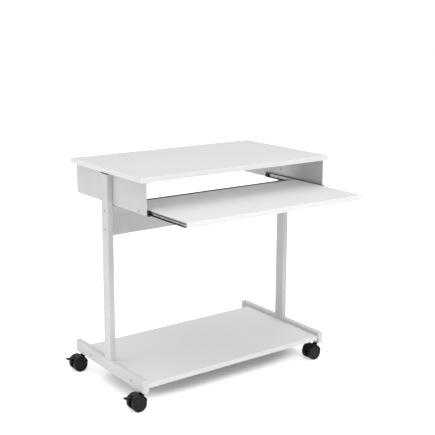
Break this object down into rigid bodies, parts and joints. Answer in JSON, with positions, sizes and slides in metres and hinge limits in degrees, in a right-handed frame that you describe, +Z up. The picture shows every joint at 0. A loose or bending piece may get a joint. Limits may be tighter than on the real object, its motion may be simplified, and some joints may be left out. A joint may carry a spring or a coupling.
{
  "type": "mobile computer desk with keyboard tray",
  "caption": "Mobile computer desk: steel side frames on swivel castors, work top, pull-out keyboard tray on ball-bearing slides, modesty panel and base shelf.",
  "frame": {"origin": "centre of the bounding box of the desk at rest, on the floor plane; the middle of the two side frames is at x +25.3 mm, y +97.5 mm, because the tray is pulled out to the front and the castors trail to the left", "axes": "+X across the desk to the right, +Y from the sitting side to the back, +Z up"},
  "size_m": [0.8044, 0.645, 0.74],
  "materials": {
    "board_laminate": "light grey melamine-faced chipboard, fine pearl texture",
    "board_edging": "light grey ABS edge band, eased edges",
    "frame_paint": "light grey powder coat, fine satin texture",
    "painted_screws": "light grey lacquered steel screws",
    "slide_zinc": "bright zinc-plated rolled steel",
    "bearing_steel": "polished bearing steel",
    "castor_steel": "zinc-plated turned steel",
    "castor_nylon": "black moulded nylon",
    "black_plastic": "black moulded polyethylene",
    "grey_plastic": "light grey moulded polyethylene"
  },
  "bodies": {
    "frame": {"top_board": "board_laminate", "top_board_edging": "board_edging", "base_shelf": "board_laminate", "base_shelf_edging": "board_edging", "side_panel_left": "frame_paint", "side_panel_right": "frame_paint", "post_left": "frame_paint", "post_right": "frame_paint", "post_cap_left": "black_plastic", "post_cap_right": "black_plastic", "foot_rail_left": "frame_paint", "foot_rail_right": "frame_paint", "rail_end_caps": "grey_plastic", "modesty_panel": "frame_paint", "modesty_screws": "painted_screws", "modesty_nuts": "slide_zinc", "shelf_screws": "painted_screws", "panel_screws": "painted_screws", "slide_panel_screws": "painted_screws", "board_screws": "painted_screws", "slide_outer_left": "slide_zinc", "slide_outer_right": "slide_zinc", "slide_stops_left": "black_plastic", "slide_stops_right": "black_plastic", "castor_nuts": "slide_zinc", "castor_stems": "castor_steel"},
    "tray": {"keyboard_tray": "board_laminate", "keyboard_tray_edging": "board_edging", "slide_inner_left": "slide_zinc", "slide_inner_right": "slide_zinc", "slide_tray_screws": "slide_zinc"},
    "ball_cage_left": {"ball_cage_left": "slide_zinc", "slide_balls_left": "bearing_steel"},
    "ball_cage_right": {"ball_cage_right": "slide_zinc", "slide_balls_right": "bearing_steel"},
    "castor_front_left": {"castor_hood_front_left": "castor_nylon", "castor_axle_front_left": "castor_steel", "brake_pin_front_left": "castor_steel"},
    "wheel_a_front_left": {"castor_wheel_a_front_left": "castor_nylon"},
    "wheel_b_front_left": {"castor_wheel_b_front_left": "castor_nylon"},
    "brake_front_left": {"brake_lever_front_left": "castor_nylon"},
    "castor_back_left": {"castor_hood_back_left": "castor_nylon", "castor_axle_back_left": "castor_steel", "brake_pin_back_left": "castor_steel"},
    "wheel_a_back_left": {"castor_wheel_a_back_left": "castor_nylon"},
    "wheel_b_back_left": {"castor_wheel_b_back_left": "castor_nylon"},
    "brake_back_left": {"brake_lever_back_left": "castor_nylon"},
    "castor_front_right": {"castor_hood_front_right": "castor_nylon", "castor_axle_front_right": "castor_steel"},
    "wheel_a_front_right": {"castor_wheel_a_front_right": "castor_nylon"},
    "wheel_b_front_right": {"castor_wheel_b_front_right": "castor_nylon"},
    "castor_back_right": {"castor_hood_back_right": "castor_nylon", "castor_axle_back_right": "castor_steel"},
    "wheel_a_back_right": {"castor_wheel_a_back_right": "castor_nylon"},
    "wheel_b_back_right": {"castor_wheel_b_back_right": "castor_nylon"}
  },
  "joints": [
    {"name": "tray_slide", "type": "slide", "parent": "frame", "child": "tray", "axis": [0, -1, 0], "range_m": [-0.195, 0.01]},
    {"name": "ball_cage_slide_left", "type": "slide", "parent": "frame", "child": "ball_cage_left", "axis": [0, -1, 0], "range_m": [-0.098, 0.0055]},
    {"name": "ball_cage_slide_right", "type": "slide", "parent": "frame", "child": "ball_cage_right", "axis": [0, -1, 0], "range_m": [-0.098, 0.0055]},
    {"name": "castor_swivel_front_left", "type": "hinge", "parent": "frame", "child": "castor_front_left", "pos_m": [-0.3397, -0.0975, 0.045], "axis": [0, 0, 1], "continuous": true},
    {"name": "wheel_spin_a_front_left", "type": "hinge", "parent": "castor_front_left", "child": "wheel_a_front_left", "pos_m": [-0.3577, -0.0975, 0.025], "axis": [0, 1, 0], "continuous": true},
    {"name": "wheel_spin_b_front_left", "type": "hinge", "parent": "castor_front_left", "child": "wheel_b_front_left", "pos_m": [-0.3577, -0.0975, 0.025], "axis": [0, 1, 0], "continuous": true},
    {"name": "brake_press_front_left", "type": "hinge", "parent": "castor_front_left", "child": "brake_front_left", "pos_m": [-0.3757, -0.0975, 0.0436], "axis": [0, -1, 0], "range_deg": [0, 20]},
    {"name": "castor_swivel_back_left", "type": "hinge", "parent": "frame", "child": "castor_back_left", "pos_m": [-0.3397, 0.2925, 0.045], "axis": [0, 0, 1], "continuous": true},
    {"name": "wheel_spin_a_back_left", "type": "hinge", "parent": "castor_back_left", "child": "wheel_a_back_left", "pos_m": [-0.3577, 0.2925, 0.025], "axis": [0, 1, 0], "continuous": true},
    {"name": "wheel_spin_b_back_left", "type": "hinge", "parent": "castor_back_left", "child": "wheel_b_back_left", "pos_m": [-0.3577, 0.2925, 0.025], "axis": [0, 1, 0], "continuous": true},
    {"name": "brake_press_back_left", "type": "hinge", "parent": "castor_back_left", "child": "brake_back_left", "pos_m": [-0.3757, 0.2925, 0.0436], "axis": [0, -1, 0], "range_deg": [0, 20]},
    {"name": "castor_swivel_front_right", "type": "hinge", "parent": "frame", "child": "castor_front_right", "pos_m": [0.3903, -0.0975, 0.045], "axis": [0, 0, 1], "continuous": true},
    {"name": "wheel_spin_a_front_right", "type": "hinge", "parent": "castor_front_right", "child": "wheel_a_front_right", "pos_m": [0.3723, -0.0975, 0.025], "axis": [0, 1, 0], "continuous": true},
    {"name": "wheel_spin_b_front_right", "type": "hinge", "parent": "castor_front_right", "child": "wheel_b_front_right", "pos_m": [0.3723, -0.0975, 0.025], "axis": [0, 1, 0], "continuous": true},
    {"name": "castor_swivel_back_right", "type": "hinge", "parent": "frame", "child": "castor_back_right", "pos_m": [0.3903, 0.2925, 0.045], "axis": [0, 0, 1], "continuous": true},
    {"name": "wheel_spin_a_back_right", "type": "hinge", "parent": "castor_back_right", "child": "wheel_a_back_right", "pos_m": [0.3723, 0.2925, 0.025], "axis": [0, 1, 0], "continuous": true},
    {"name": "wheel_spin_b_back_right", "type": "hinge", "parent": "castor_back_right", "child": "wheel_b_back_right", "pos_m": [0.3723, 0.2925, 0.025], "axis": [0, 1, 0], "continuous": true}
  ],
  "couplings": [
    {"joint": "ball_cage_slide_left", "follows": "tray_slide", "ratio": 0.5},
    {"joint": "ball_cage_slide_right", "follows": "tray_slide", "ratio": 0.5}
  ]
}
